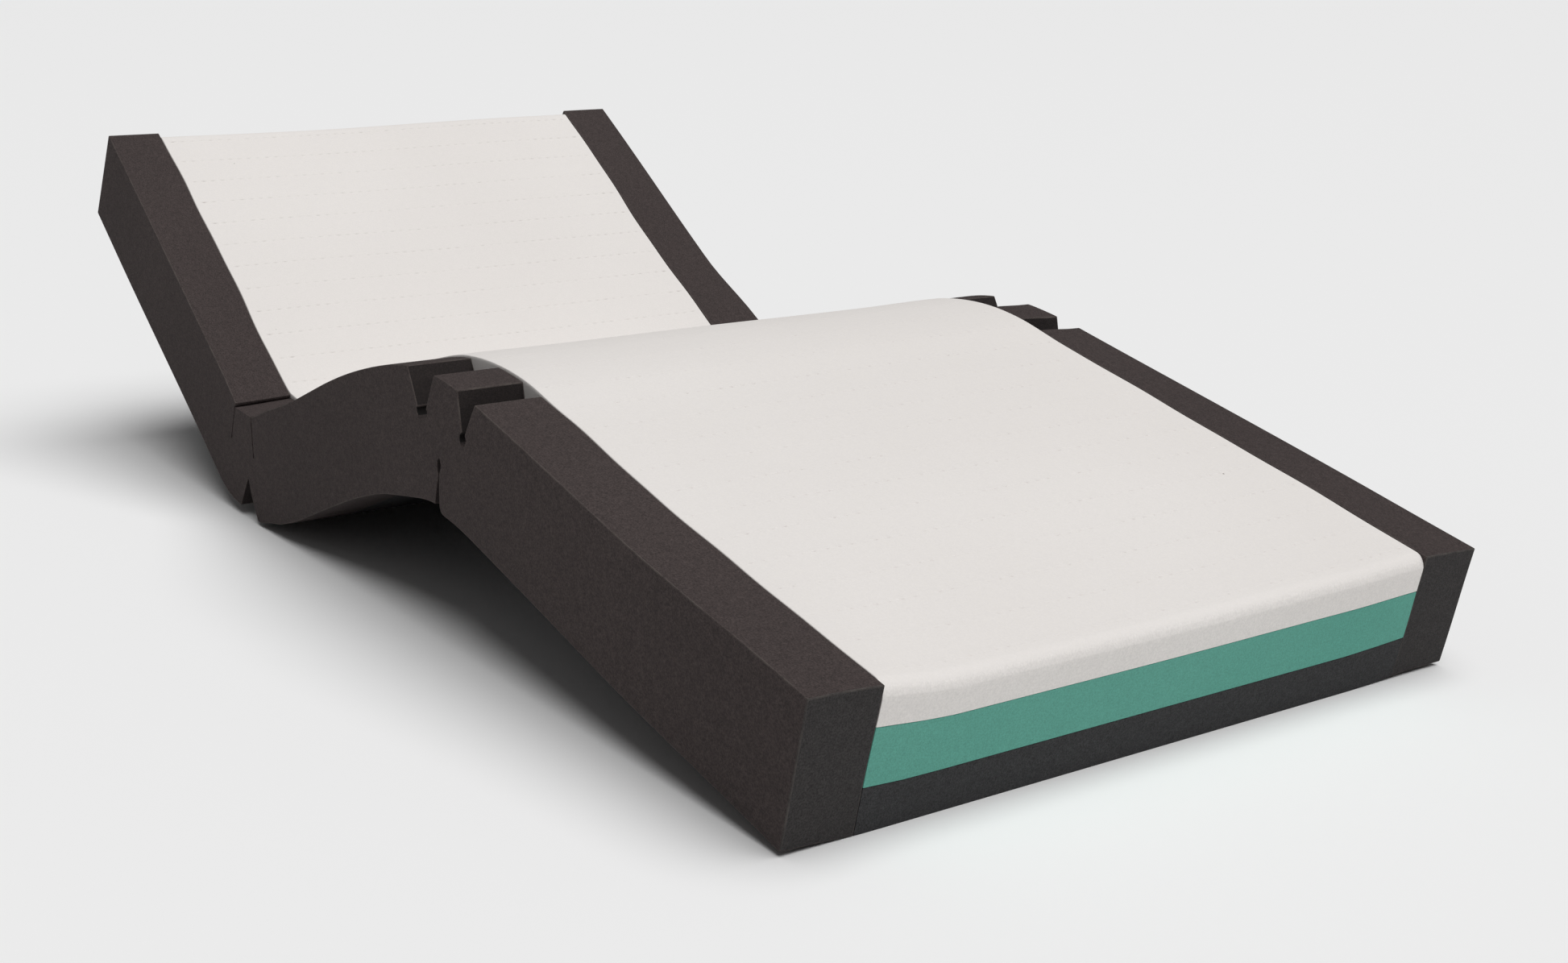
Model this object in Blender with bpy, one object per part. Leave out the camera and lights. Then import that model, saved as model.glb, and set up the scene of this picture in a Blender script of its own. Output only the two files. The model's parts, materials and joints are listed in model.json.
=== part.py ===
"""Foam core of a pressure relief mattress, lying folded as on a profiling bed.

Five foam blocks make the core: a side rail on each long edge, and between them a firm
base layer, a middle layer and a soft top layer. The rails are cut at the hip and at the
knee, so the core folds there. Each block is divided at its fold lines into sections.

Every section is drawn flat, as an outline in (s, h): s runs along the core from the head
end to the foot end, and h is the height over the core's middle. bend() then lays that
outline along the folded centre line. +X points to the foot end, +Y to the patient's left.
"""
import math

import bmesh
import bpy

# Driving dimensions, in metres
LENGTH = 1.980
WIDTH = 0.880
THICKNESS = 0.152
RAIL_WIDTH = 0.080
BASE_HEIGHT = 0.050
MIDDLE_HEIGHT = 0.060
GAP = 0.0003

# Fold lines: places along the flat core, in metres from the head end
HIP_UPPER_LINE = 0.612
HIP_LOWER_LINE = 0.701
THIGH_FLEX_START = 0.800
THIGH_FLEX_END = 0.900
KNEE_UPPER_LINE = 1.256
KNEE_LOWER_LINE = 1.351

# The centre line from the head end: (length in metres, turn in degrees, up is positive)
HIP_HINGE_LENGTH = 0.034
HIP_HINGE_TURN = 24.5
HEAD_STRAIGHT = HIP_UPPER_LINE - HIP_HINGE_LENGTH / 2
HIP_TOOTH = HIP_LOWER_LINE - HIP_UPPER_LINE - HIP_HINGE_LENGTH
SEAT_STRAIGHT = THIGH_FLEX_START - HIP_LOWER_LINE - HIP_HINGE_LENGTH / 2
KNEE_ARCH_START = 0.980
KNEE_UPPER_START = 1.180
KNEE_LOWER_START = 1.300
KNEE_END = 1.370
CENTRE_LINE = [
    (HEAD_STRAIGHT, 0.0),
    (HIP_HINGE_LENGTH, HIP_HINGE_TURN),
    (HIP_TOOTH, 0.0),
    (HIP_HINGE_LENGTH, HIP_HINGE_TURN),
    (SEAT_STRAIGHT, 0.0),
    (THIGH_FLEX_END - THIGH_FLEX_START, 5.5),
    (KNEE_ARCH_START - THIGH_FLEX_END, 0.0),
    (KNEE_UPPER_START - KNEE_ARCH_START, -9.0),
    (KNEE_LOWER_START - KNEE_UPPER_START, -18.7),
    (KNEE_END - KNEE_LOWER_START, -7.5),
    (LENGTH - KNEE_END, 0.0),
]

# Cuts in the rails, as real widths in the folded core
CUT_DEPTH = 0.058
HIP_CUT_HALF_TOP = 0.0006
HIP_CUT_HALF_ROOT = 0.0006
HIP_HOLE_RADIUS = 0.0045
KNEE_UPPER_HALF_TOP = 0.0340
KNEE_LOWER_HALF_TOP = 0.0210
KNEE_UPPER_HALF_ROOT = 0.0125
KNEE_LOWER_HALF_ROOT = 0.0045
KNEE_UPPER_HOLE_RADIUS = 0.0126
KNEE_LOWER_HOLE_RADIUS = 0.0072

# Notch under the hip and slit under the knee, as flat places (s) and their depth
HIP_NOTCH_HEAD = 0.652
HIP_NOTCH_APEX = 0.679
HIP_NOTCH_SEAT = 0.6965
HIP_NOTCH_DEPTH = 0.055
KNEE_SLIT_LINE = 1.298
KNEE_SLIT_HALF = 0.0060
KNEE_SLIT_DEPTH = 0.060
KNEE_SLIT_RADIUS = 0.0040

STEP_TURN = math.radians(3.0)
STEP_LENGTH = 0.060
HALF = THICKNESS / 2
ARC_STEPS = 6
PITCH_ROUNDS = 40

BASE_TOP = -HALF + BASE_HEIGHT
MIDDLE_TOP = BASE_TOP + MIDDLE_HEIGHT

# Colour, roughness of the four foams
DARK_FOAM = ("dark_foam", (0.040, 0.033, 0.031), 0.92)
BASE_FOAM = ("base_foam", (0.030, 0.032, 0.034), 0.92)
TEAL_FOAM = ("teal_foam", (0.120, 0.360, 0.290), 0.88)
WHITE_FOAM = ("white_foam", (0.780, 0.755, 0.735), 0.90)


def stations(pitch):
    """Start of each centre line stretch: (s, x, z, heading, curvature)."""
    rows = []
    s, x, z = 0.0, 0.0, 0.0
    back_turn = 2 * math.radians(HIP_HINGE_TURN)
    heading = pitch - back_turn
    for length, turn in CENTRE_LINE:
        curvature = math.radians(turn) / length
        rows.append((s, x, z, heading, curvature))
        dx, dz = advance(length, heading, curvature)
        s, x, z, heading = s + length, x + dx, z + dz, heading + math.radians(turn)
    return rows


def advance(length, heading, curvature):
    """Travel along an arc of the centre line from its start."""
    if abs(curvature) < 1e-9:
        return length * math.cos(heading), length * math.sin(heading)
    end = heading + curvature * length
    dx = (math.sin(end) - math.sin(heading)) / curvature
    dz = (math.cos(heading) - math.cos(end)) / curvature
    return dx, dz


def bend(point, rows, origin=(0.0, 0.0)):
    """Lay a flat point (s, h) on the folded core, as (x, z)."""
    s, h = point
    row = [entry for entry in rows if entry[0] <= s + 1e-9][-1] if s > 0 else rows[0]
    start, x, z, heading, curvature = row
    dx, dz = advance(s - start, heading, curvature)
    turned = heading + curvature * (s - start)
    return (x + dx - h * math.sin(turned) - origin[0], z + dz + h * math.cos(turned) - origin[1])


def hip_underside(rows):
    """Lowest point under the lower hip hinge, where the core stands on the floor."""
    start = HIP_LOWER_LINE - HIP_HINGE_LENGTH / 2
    steps = 68
    places = [start + HIP_HINGE_LENGTH * i / steps for i in range(steps + 1)]
    return min((bend((s, -HALF), rows) for s in places), key=lambda p: p[1])


def lying_pitch():
    """Slope of the seat at which the hip and the foot edge both touch the floor."""
    low, high = math.radians(5.0), math.radians(30.0)
    for _ in range(PITCH_ROUNDS):
        middle = (low + high) / 2
        rows = stations(middle)
        if bend((LENGTH, -HALF), rows)[1] > hip_underside(rows)[1]:
            high = middle
        else:
            low = middle
    return (low + high) / 2


SEAT_PITCH = lying_pitch()
ROWS = stations(SEAT_PITCH)
HEAD_X = bend((0.0, -HALF), ROWS)[0]
FOOT_X = bend((LENGTH, HALF), ROWS)[0]
ORIGIN = ((HEAD_X + FOOT_X) / 2, bend((LENGTH, -HALF), ROWS)[1])


def curvature_at(s):
    return [row for row in ROWS if row[0] <= s + 1e-9][-1][4]


def flat_width(real, s, h):
    """Length along the flat core that is this wide at height h once folded."""
    return real / (1 - curvature_at(s) * h)


def plain_end(line, side, low, high):
    """End face on a fold line, from low to high; side is +1 where the section starts."""
    s = line + side * GAP / 2
    return [(s, low), (s, high)]


def cut_end(line, side, half_top, half_root, radius):
    """End face of a rail along one wall of a cut from the top, from low to high."""
    root = HALF - CUT_DEPTH
    centre = root + radius
    points = [(line + side * flat_width(GAP / 2, line, -HALF), -HALF)]
    opening = math.asin(min(1.0, half_root / radius))
    sweep = math.pi - opening
    for i in range(ARC_STEPS + 1):
        angle = sweep * i / ARC_STEPS
        reach = max(radius * math.sin(angle), GAP / 2)
        h = centre - radius * math.cos(angle)
        points.append((line + side * flat_width(reach, line, h), h))
    neck = points[-1][1]
    wall_steps = 6
    for i in range(1, wall_steps + 1):
        share = i / wall_steps
        h = neck + (HALF - neck) * share
        real = half_root + (half_top - half_root) * share
        points.append((line + side * flat_width(real, line, h), h))
    return points


def hip_cut(line, side):
    return cut_end(line, side, HIP_CUT_HALF_TOP, HIP_CUT_HALF_ROOT, HIP_HOLE_RADIUS)


def knee_upper_cut(side):
    return cut_end(KNEE_UPPER_LINE, side, KNEE_UPPER_HALF_TOP, KNEE_UPPER_HALF_ROOT,
                   KNEE_UPPER_HOLE_RADIUS)


def knee_lower_cut(side):
    return cut_end(KNEE_LOWER_LINE, side, KNEE_LOWER_HALF_TOP, KNEE_LOWER_HALF_ROOT,
                   KNEE_LOWER_HOLE_RADIUS)


def run(start, end, h):
    """Points between two places at one height, close enough together for the curve."""
    points = []
    breaks = [start, end] + [row[0] for row in ROWS if min(start, end) < row[0] < max(start, end)]
    breaks.sort(reverse=start > end)
    for first, last in zip(breaks, breaks[1:]):
        turn = abs(curvature_at((first + last) / 2) * (last - first))
        count = max(1, math.ceil(turn / STEP_TURN))
        points += [(first + (last - first) * i / count, h) for i in range(1, count + 1)]
    return points[:-1]


def outline(start_face, end_face, underside=()):
    """Closed flat outline: under from start to end, up the end face, back over the top."""
    under = list(underside)
    under_path = []
    here = start_face[0]
    for point in under + [end_face[0]]:
        if abs(point[1] - here[1]) < 1e-9:
            under_path += run(here[0], point[0], here[1])
        under_path.append(point)
        here = point
    over = run(end_face[-1][0], start_face[-1][0], end_face[-1][1])
    return [start_face[0]] + under_path[:-1] + end_face + over + start_face[:0:-1]


def make_material(name, colour, roughness):
    material = bpy.data.materials.new(name)
    material.use_nodes = True
    shader = material.node_tree.nodes["Principled BSDF"]
    shader.inputs["Base Color"].default_value = (*colour, 1.0)
    shader.inputs["Roughness"].default_value = roughness
    shader.inputs["Metallic"].default_value = 0.0
    material.diffuse_color = (*colour, 1.0)
    return material


def extrude_across(name, flat_outline, y_low, y_high, material, parent, pivot):
    """Solid section: its folded outline, carried across from y_low to y_high."""
    mesh = bpy.data.meshes.new(name)
    work = bmesh.new()
    verts = []
    for point in flat_outline:
        x, z = bend(point, ROWS, ORIGIN)
        verts.append(work.verts.new((x - pivot[0], y_low, z - pivot[1])))
    face = work.faces.new(verts)
    extruded = bmesh.ops.extrude_face_region(work, geom=[face])
    moved = [item for item in extruded["geom"] if isinstance(item, bmesh.types.BMVert)]
    bmesh.ops.translate(work, verts=moved, vec=(0.0, y_high - y_low, 0.0))
    bmesh.ops.recalc_face_normals(work, faces=work.faces)
    work.to_mesh(mesh)
    work.free()
    mesh.materials.append(material)
    section = bpy.data.objects.new(name, mesh)
    bpy.context.scene.collection.objects.link(section)
    section.parent = parent
    return section


def hinge_empty(name, line, parent, parent_pivot):
    """Empty on a hinge axis at mid-height of the core, across the width."""
    x, z = bend((line, 0.0), ROWS, ORIGIN)
    empty = bpy.data.objects.new(name, None)
    empty.empty_display_size = 0.05
    empty.location = (x - parent_pivot[0], 0.0, z - parent_pivot[1])
    empty.parent = parent
    bpy.context.scene.collection.objects.link(empty)
    return empty, (x, z)


def hip_notch():
    """Notch under the hip, cut up from the bottom of the rail."""
    root = -HALF + HIP_NOTCH_DEPTH
    return [
        (HIP_NOTCH_HEAD, -HALF),
        (HIP_NOTCH_APEX - 0.003, root),
        (HIP_NOTCH_APEX + 0.001, root),
        (HIP_NOTCH_SEAT, -HALF),
    ]


def knee_slit():
    """Slit under the knee, nearly shut, with a small round hole at its end."""
    centre = -HALF + KNEE_SLIT_DEPTH - KNEE_SLIT_RADIUS
    neck = 0.0004
    start = math.asin(neck / KNEE_SLIT_RADIUS)
    points = [(KNEE_SLIT_LINE - KNEE_SLIT_HALF, -HALF)]
    arc_steps = 8
    for i in range(arc_steps + 1):
        angle = start + (2 * math.pi - 2 * start) * i / arc_steps
        s = KNEE_SLIT_LINE - KNEE_SLIT_RADIUS * math.sin(angle)
        points.append((s, centre - KNEE_SLIT_RADIUS * math.cos(angle)))
    points.append((KNEE_SLIT_LINE + KNEE_SLIT_HALF, -HALF))
    return points


def head_face(low, high):
    return [(0.0, low), (0.0, high)]


def foot_face(low, high):
    return [(LENGTH, low), (LENGTH, high)]


def rail_outlines():
    """Outline of each section of a side rail, by section name."""
    low, high = -HALF, HALF
    return {
        "backrest": outline(head_face(low, high), hip_cut(HIP_UPPER_LINE, -1)),
        "hip_hinge": outline(hip_cut(HIP_UPPER_LINE, 1), hip_cut(HIP_LOWER_LINE, -1), hip_notch()),
        "seat": outline(hip_cut(HIP_LOWER_LINE, 1), plain_end(THIGH_FLEX_START, -1, low, high)),
        "thigh_flex": plain_section(THIGH_FLEX_START, THIGH_FLEX_END, low, high),
        "thigh": outline(plain_end(THIGH_FLEX_END, 1, low, high), knee_upper_cut(-1)),
        "knee_hinge": outline(knee_upper_cut(1), knee_lower_cut(-1), knee_slit()),
        "calf": outline(knee_lower_cut(1), foot_face(low, high)),
    }


def plain_section(start, end, low, high):
    return outline(plain_end(start, 1, low, high), plain_end(end, -1, low, high))


def layer_outlines(low, high):
    """Outline of each section of an uncut layer, by section name."""
    lines = [
        ("backrest", 0.0, HIP_UPPER_LINE),
        ("hip_hinge", HIP_UPPER_LINE, HIP_LOWER_LINE),
        ("seat", HIP_LOWER_LINE, THIGH_FLEX_START),
        ("thigh_flex", THIGH_FLEX_START, THIGH_FLEX_END),
        ("thigh", THIGH_FLEX_END, KNEE_UPPER_LINE),
        ("knee_hinge", KNEE_UPPER_LINE, KNEE_LOWER_LINE),
        ("calf", KNEE_LOWER_LINE, LENGTH),
    ]
    sections = {}
    for section, start, end in lines:
        start_face = plain_end(start, 1, low, high) if start > 0 else head_face(low, high)
        end_face = plain_end(end, -1, low, high) if end < LENGTH else foot_face(low, high)
        sections[section] = outline(start_face, end_face)
    return sections


def build_bodies():
    """Empties on the hinge axes, chained outwards from the seat; pivots as (x, z)."""
    seat_pivot = (0.0, 0.0)
    seat = None
    hip_link, hip_link_pivot = hinge_empty("axis_hip_lower", HIP_LOWER_LINE, seat, seat_pivot)
    back, back_pivot = hinge_empty("axis_hip_upper", HIP_UPPER_LINE, hip_link, hip_link_pivot)
    flex_line = (THIGH_FLEX_START + THIGH_FLEX_END) / 2
    thigh, thigh_pivot = hinge_empty("axis_thigh_flex", flex_line, seat, seat_pivot)
    knee_link, knee_pivot = hinge_empty("axis_knee_upper", KNEE_UPPER_LINE, thigh, thigh_pivot)
    calf, calf_pivot = hinge_empty("axis_knee_lower", KNEE_LOWER_LINE, knee_link, knee_pivot)
    return {
        "backrest": (back, back_pivot),
        "hip_hinge": (hip_link, hip_link_pivot),
        "seat": (seat, seat_pivot),
        "thigh_flex": (seat, seat_pivot),
        "thigh": (thigh, thigh_pivot),
        "knee_hinge": (knee_link, knee_pivot),
        "calf": (calf, calf_pivot),
    }


def build():
    for item in list(bpy.data.objects):
        bpy.data.objects.remove(item, do_unlink=True)
    foams = (DARK_FOAM, BASE_FOAM, TEAL_FOAM, WHITE_FOAM)
    dark, base, teal, white = [make_material(*foam) for foam in foams]
    edge, inner = WIDTH / 2, WIDTH / 2 - RAIL_WIDTH
    core = inner - GAP
    blocks = [
        ("rail_right", rail_outlines(), -edge, -inner, dark),
        ("rail_left", rail_outlines(), inner, edge, dark),
        ("base_layer", layer_outlines(-HALF, BASE_TOP - GAP / 2), -core, core, base),
        ("middle_layer", layer_outlines(BASE_TOP + GAP / 2, MIDDLE_TOP - GAP / 2), -core, core, teal),
        ("top_layer", layer_outlines(MIDDLE_TOP + GAP / 2, HALF), -core, core, white),
    ]
    bodies = build_bodies()
    for block, sections, y_low, y_high, material in blocks:
        for section, flat_outline in sections.items():
            parent, pivot = bodies[section]
            extrude_across(f"{block}_{section}", flat_outline, y_low, y_high, material, parent, pivot)


build()
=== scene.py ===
import json
import math

import bmesh
import bpy
import numpy as np
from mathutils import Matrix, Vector


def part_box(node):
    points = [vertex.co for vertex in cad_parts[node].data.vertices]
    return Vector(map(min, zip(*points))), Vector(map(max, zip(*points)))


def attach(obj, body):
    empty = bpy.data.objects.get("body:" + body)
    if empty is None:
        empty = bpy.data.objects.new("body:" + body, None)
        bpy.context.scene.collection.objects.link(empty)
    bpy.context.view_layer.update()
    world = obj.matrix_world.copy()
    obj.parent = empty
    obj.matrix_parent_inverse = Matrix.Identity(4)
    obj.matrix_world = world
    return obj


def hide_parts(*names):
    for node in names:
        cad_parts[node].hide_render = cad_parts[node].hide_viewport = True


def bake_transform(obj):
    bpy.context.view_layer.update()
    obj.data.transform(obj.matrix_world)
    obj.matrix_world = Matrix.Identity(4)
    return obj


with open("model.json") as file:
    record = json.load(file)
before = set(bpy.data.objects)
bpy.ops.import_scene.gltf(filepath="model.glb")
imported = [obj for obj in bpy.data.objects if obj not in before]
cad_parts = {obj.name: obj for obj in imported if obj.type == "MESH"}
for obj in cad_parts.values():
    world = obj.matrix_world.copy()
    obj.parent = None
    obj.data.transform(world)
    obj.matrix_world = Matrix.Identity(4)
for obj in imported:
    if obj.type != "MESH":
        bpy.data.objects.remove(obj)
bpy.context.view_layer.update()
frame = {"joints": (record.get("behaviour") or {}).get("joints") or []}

JOINTS = {joint["name"]: joint for joint in frame["joints"]}

# The core's dimensions, in metres, as the CAD has them
LENGTH = 1.980
THICKNESS = 0.152
BASE_HEIGHT = 0.050
MIDDLE_HEIGHT = 0.060
HALF = THICKNESS / 2
BASE_TOP = -HALF + BASE_HEIGHT
MIDDLE_TOP = BASE_TOP + MIDDLE_HEIGHT
EDGE_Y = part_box("rail_left_seat")[1].y
RAIL_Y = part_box("rail_left_seat")[0].y
CORE_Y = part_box("top_layer_seat")[1].y

# Fold lines, as places along the flat core from the head end
HIP_UPPER = 0.612
HIP_LOWER = 0.701
FLEX_LINE = 0.850
KNEE_UPPER = 1.256
KNEE_SLIT = 1.298
KNEE_LOWER = 1.351

# Where the looks divide the core, each well away from the next hinge
HIP_MIDDLE = 0.656
SEAT_MIDDLE = 0.760
THIGH_MIDDLE = 1.040

# The centre line from the head end: (length, turn in degrees, up is positive)
HIP_TURN = 24.5
CENTRE_LINE = [
    (0.595, 0.0),
    (0.034, HIP_TURN),
    (0.055, 0.0),
    (0.034, HIP_TURN),
    (0.082, 0.0),
    (0.100, 5.5),
    (0.080, 0.0),
    (0.200, -9.0),
    (0.120, -18.7),
    (0.070, -7.5),
    (0.610, 0.0),
]

# The stretches of it that the rails' straight parts lie on
BACK_ROW, TOOTH_ROW, SEAT_ROW = 0, 2, 4
# A stretch with less curvature than this is straight
STRAIGHT = 1e-9


# ---------------------------------------------------------------- the folded centre line

def stations():
    """Start of each stretch (s, x, z, heading, curvature), set on the CAD's own hinges."""
    upper = JOINTS["backrest_raise_upper"]["pos_m"]
    lower = JOINTS["backrest_raise"]["pos_m"]
    tooth_heading = math.atan2(lower[2] - upper[2], lower[0] - upper[0])
    heading = tooth_heading - math.radians(HIP_TURN)
    rows = []
    s, x, z = 0.0, 0.0, 0.0
    for length, turn in CENTRE_LINE:
        turn = math.radians(turn)
        curvature = turn / length
        rows.append([s, x, z, heading, curvature])
        if abs(curvature) < STRAIGHT:
            x += length * math.cos(heading)
            z += length * math.sin(heading)
        else:
            x += (math.sin(heading + turn) - math.sin(heading)) / curvature
            z += (math.cos(heading) - math.cos(heading + turn)) / curvature
        s += length
        heading += turn
    rows = np.array(rows)
    hinge = centre_point(np.array([HIP_UPPER]), rows)
    rows[:, 1] += upper[0] - hinge[0][0]
    rows[:, 2] += upper[2] - hinge[1][0]
    return rows


def centre_point(s, rows, first=0, last=None):
    """x, z and heading of the centre line at each s; past first and last it runs straight."""
    last = len(rows) - 1 if last is None else last
    index = np.clip(np.searchsorted(rows[:, 0], s + STRAIGHT, side="right") - 1, first, last)
    start, x, z, heading, curvature = rows[index].T
    run = s - start
    beyond = (run < 0) | ((index == last) & (last < len(rows) - 1))
    curvature = np.where(beyond, 0.0, curvature)
    straight = np.abs(curvature) < STRAIGHT
    safe = np.where(straight, 1.0, curvature)
    end = heading + curvature * run
    dx = np.where(straight, run * np.cos(heading), (np.sin(end) - np.sin(heading)) / safe)
    dz = np.where(straight, run * np.sin(heading), (np.cos(heading) - np.cos(end)) / safe)
    return x + dx, z + dz, end


ROWS = stations()

# How far to each side lay_soft looks along the centre line, and in how many steps
SOFTEN = 0.036
SOFTEN_STEPS = 13


def lay(s, h, first=0, last=None):
    """Flat (s, h) laid on the folded core, as world x and z."""
    x, z, heading = centre_point(s, ROWS, first, last)
    return x - h * np.sin(heading), z + h * np.cos(heading)


def lay_soft(s, h):
    """As lay, with the folds rounded the way uncut foam takes them."""
    offsets = np.linspace(-SOFTEN, SOFTEN, SOFTEN_STEPS)
    weights = 1 + np.cos(offsets / SOFTEN * math.pi)
    weights /= weights.sum()
    places, back = np.unique(np.round(s, 7), return_inverse=True)
    x = np.zeros(len(places))
    z = np.zeros(len(places))
    along = np.zeros(len(places))
    up = np.zeros(len(places))
    for offset, weight in zip(offsets, weights):
        px, pz, heading = centre_point(places + offset, ROWS)
        x += weight * px
        z += weight * pz
        along += weight * np.cos(heading)
        up += weight * np.sin(heading)
    size = np.hypot(along, up)
    along, up = along / size, up / size
    back = back.reshape(-1)
    return x[back] - h * up[back], z[back] + h * along[back]


def heading_at(s):
    """Slope of the centre line at s, in radians."""
    return float(centre_point(np.array([s]), ROWS)[2][0])


def to_straight(x, z, row):
    """World x, z as flat (s, h) of one straight stretch, carried on past its ends."""
    start, x0, z0, heading, _ = ROWS[row]
    dx, dz = x - x0, z - z0
    return (start + dx * math.cos(heading) + dz * math.sin(heading),
            -dx * math.sin(heading) + dz * math.cos(heading))


# ---------------------------------------------------------------- small shared helpers

def smooth(low, high, value):
    """0 below low, 1 above high, with an even turn between."""
    t = np.clip((value - low) / (high - low), 0, 1)
    return t * t * (3 - 2 * t)


def hump(s, rise_from, rise_to, fall_from, fall_to):
    """1 between the rise and the fall, 0 outside them."""
    return smooth(rise_from, rise_to, s) * (1 - smooth(fall_from, fall_to, s))


# Where the foam strays from true, along the core: (rise from, rise to, fall from, fall to)
KNEE_STRETCH = (1.10, 1.25, 1.35, 1.85)
ARCH_STRETCH = (0.78, 0.90, 1.10, 1.20)
BACK_STRETCH = (0.10, 0.55, 0.66, 0.70)
HEEL_STRETCH = (0.66, 0.70, 0.72, 0.77)
HIP_STRETCH = (0.55, 0.61, 0.72, 0.80)
ROUND_STRETCH = (0.40, 0.58, 0.66, 0.80)
CALF_START = 1.40
FOOT_START = 1.66
BACK_TWIST_END = 0.45

# How far it strays there, in metres
GLUE_LINE_WAVE = 0.0013
GLUE_LINE_REACH = 0.045
TOP_WAVE = 0.0010
CALF_SPLAY = 0.003
KNEE_DRAWN_IN = 0.011
RIGHT_CURL_LOW = 0.0075
RIGHT_CURL_HIGH = 0.0110
LEFT_CURL = 0.0070
FOOT_DIP = 0.004
CALF_DROP = 0.003
LEFT_EDGE_SUNK = 0.004
BACK_TWIST = 0.007
ARCH_RISE = 0.004
BACK_RISE = 0.007
HEEL_RISE = 0.004
HIP_SUNK = 0.004
HIP_ROUNDING = 0.014


def soft_field(s, y, h):
    """Slow unevenness of the cut foam, the same for every block, as (dy, dh)."""
    side = np.sign(y)
    upper = smooth(-0.02, HALF, h)
    high = smooth(-HALF, HALF, h)
    low = 1 - high
    low_half = 1 - smooth(-HALF, 0.0, h)
    left_rail = smooth(RAIL_Y, EDGE_Y, y)
    calf = smooth(CALF_START, LENGTH, s)

    # Slightly wavy glue lines between the core and the side rails
    near_joint = np.exp(-((np.abs(y) - RAIL_Y) / GLUE_LINE_REACH) ** 2)
    wave = (np.sin(s * 11.0 + side * 0.9) + 0.7 * np.sin(s * 23.0 + 1.7 + side * 2.1)
            + 0.35 * np.sin(s * 47.0 + side * 4.0))
    splay = CALF_SPLAY * low * smooth(0.20, EDGE_Y, y) * calf
    drawn_in = KNEE_DRAWN_IN * left_rail * hump(s, *KNEE_STRETCH)
    dy = GLUE_LINE_WAVE * wave * near_joint * upper + splay - drawn_in

    # The top of the core, a little uneven, and the foot corners, which curl up
    middle = 1 - smooth(0.25, RAIL_Y, np.abs(y))
    rise = TOP_WAVE * (np.sin(s * 9.0 + y * 5.0) + 0.6 * np.sin(y * 13.0 - s * 4.0))
    right_curl = (RIGHT_CURL_LOW * low * smooth(0.31, EDGE_Y, -y)
                 + RIGHT_CURL_HIGH * high * smooth(0.26, EDGE_Y, -y))
    left_curl = LEFT_CURL * low * smooth(0.26, 0.40, y)
    dip = FOOT_DIP * middle * upper
    foot = smooth(FOOT_START, LENGTH, s) * (right_curl + left_curl - dip) - CALF_DROP * calf
    sunk_edge = LEFT_EDGE_SUNK * high * left_rail * smooth(1.20, 1.35, s)
    twist = BACK_TWIST * smooth(-0.10, EDGE_Y, y) * (1 - smooth(0.0, BACK_TWIST_END, s))

    # Squeezed foam under the seat, behind the hip and at the hip
    arch = ARCH_RISE * low_half * hump(s, *ARCH_STRETCH)
    heel = low_half * (BACK_RISE * hump(s, *BACK_STRETCH) + HEEL_RISE * hump(s, *HEEL_STRETCH))
    sunk = HIP_SUNK * high * smooth(0.34, EDGE_Y, -y) * hump(s, *HIP_STRETCH)
    rounding = HIP_ROUNDING * smooth(RAIL_Y - 0.04, EDGE_Y, y) * hump(s, *ROUND_STRETCH)
    dh = rise * upper * middle + foot - sunk_edge + twist + arch + heel - sunk + rounding
    return dy, dh


def finish_mesh(name, mesh, material, sharp_degrees=38.0):
    """Object with smooth faces, sharp cut edges and normals that keep flat faces flat."""
    work = bmesh.new()
    work.from_mesh(mesh)
    bmesh.ops.recalc_face_normals(work, faces=work.faces)
    limit = math.radians(sharp_degrees)
    for face in work.faces:
        face.smooth = True
    for edge in work.edges:
        edge.smooth = edge.is_manifold and edge.calc_face_angle(0.0) < limit
    work.to_mesh(mesh)
    work.free()
    mesh.materials.append(material)
    obj = bpy.data.objects.new(name, mesh)
    bpy.context.scene.collection.objects.link(obj)
    even = obj.modifiers.new("even_normals", "WEIGHTED_NORMAL")
    even.keep_sharp = True
    even.weight = 100
    return obj


# ---------------------------------------------------------------- side rails

CUT_DEPTH = 0.058
ROOT = HALF - CUT_DEPTH
RIM = 0.0014

# Walls of the cuts, from the root up: (distance from the cut's middle, height over the root)
HIP_PROFILE = [(0.0010, 0.0), (0.0016, 0.003), (0.0010, 0.0075), (0.0003, 0.009)]
HIP_LOWER_TOP = [(0.0008, 0.0200), (0.0009, CUT_DEPTH)]
OVERHANG = [(0.0005, 0.0520), (-0.0020, 0.0545), (-0.0022, CUT_DEPTH)]
UNDERHUNG = [(0.0005, 0.0520)]
KNEE_UPPER_TOP = 0.0340
KNEE_UPPER_PROFILE = [
    (0.0060, 0.0010), (0.0108, 0.0040), (0.0134, 0.0080), (0.0140, 0.0115), (0.0134, 0.0135),
    (0.0112, 0.0142), (KNEE_UPPER_TOP, CUT_DEPTH),
]
KNEE_LOWER_TOP = 0.0210
KNEE_LOWER_PROFILE = [
    (0.0028, 0.0008), (0.0052, 0.0035), (0.0068, 0.0070), (0.0070, 0.0105), (0.0062, 0.0128),
    (0.0036, 0.0142), (KNEE_LOWER_TOP, CUT_DEPTH),
]
HOLE_HALF = max(half for half, _ in KNEE_UPPER_PROFILE[:-1])
NECK = ROOT + KNEE_UPPER_PROFILE[-2][1]
ROOT_HALF = 0.0015
ROOT_POINTS = 9

# The foam left under each hip cut bends on its own: where it starts and ends
WEB_UPPER = (0.5815, 0.6421)
WEB_LOWER = (0.6709, 0.7311)

# Notch under the hip: (place, height over the underside), from its head side round its top
NOTCH_HEAD = (0.652, 0.0)
NOTCH_APEX = (0.676, 0.055)
NOTCH_SEAT_SIDE = [(0.6785, 0.0565), (0.6815, 0.052), (0.7010, 0.0)]

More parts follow.
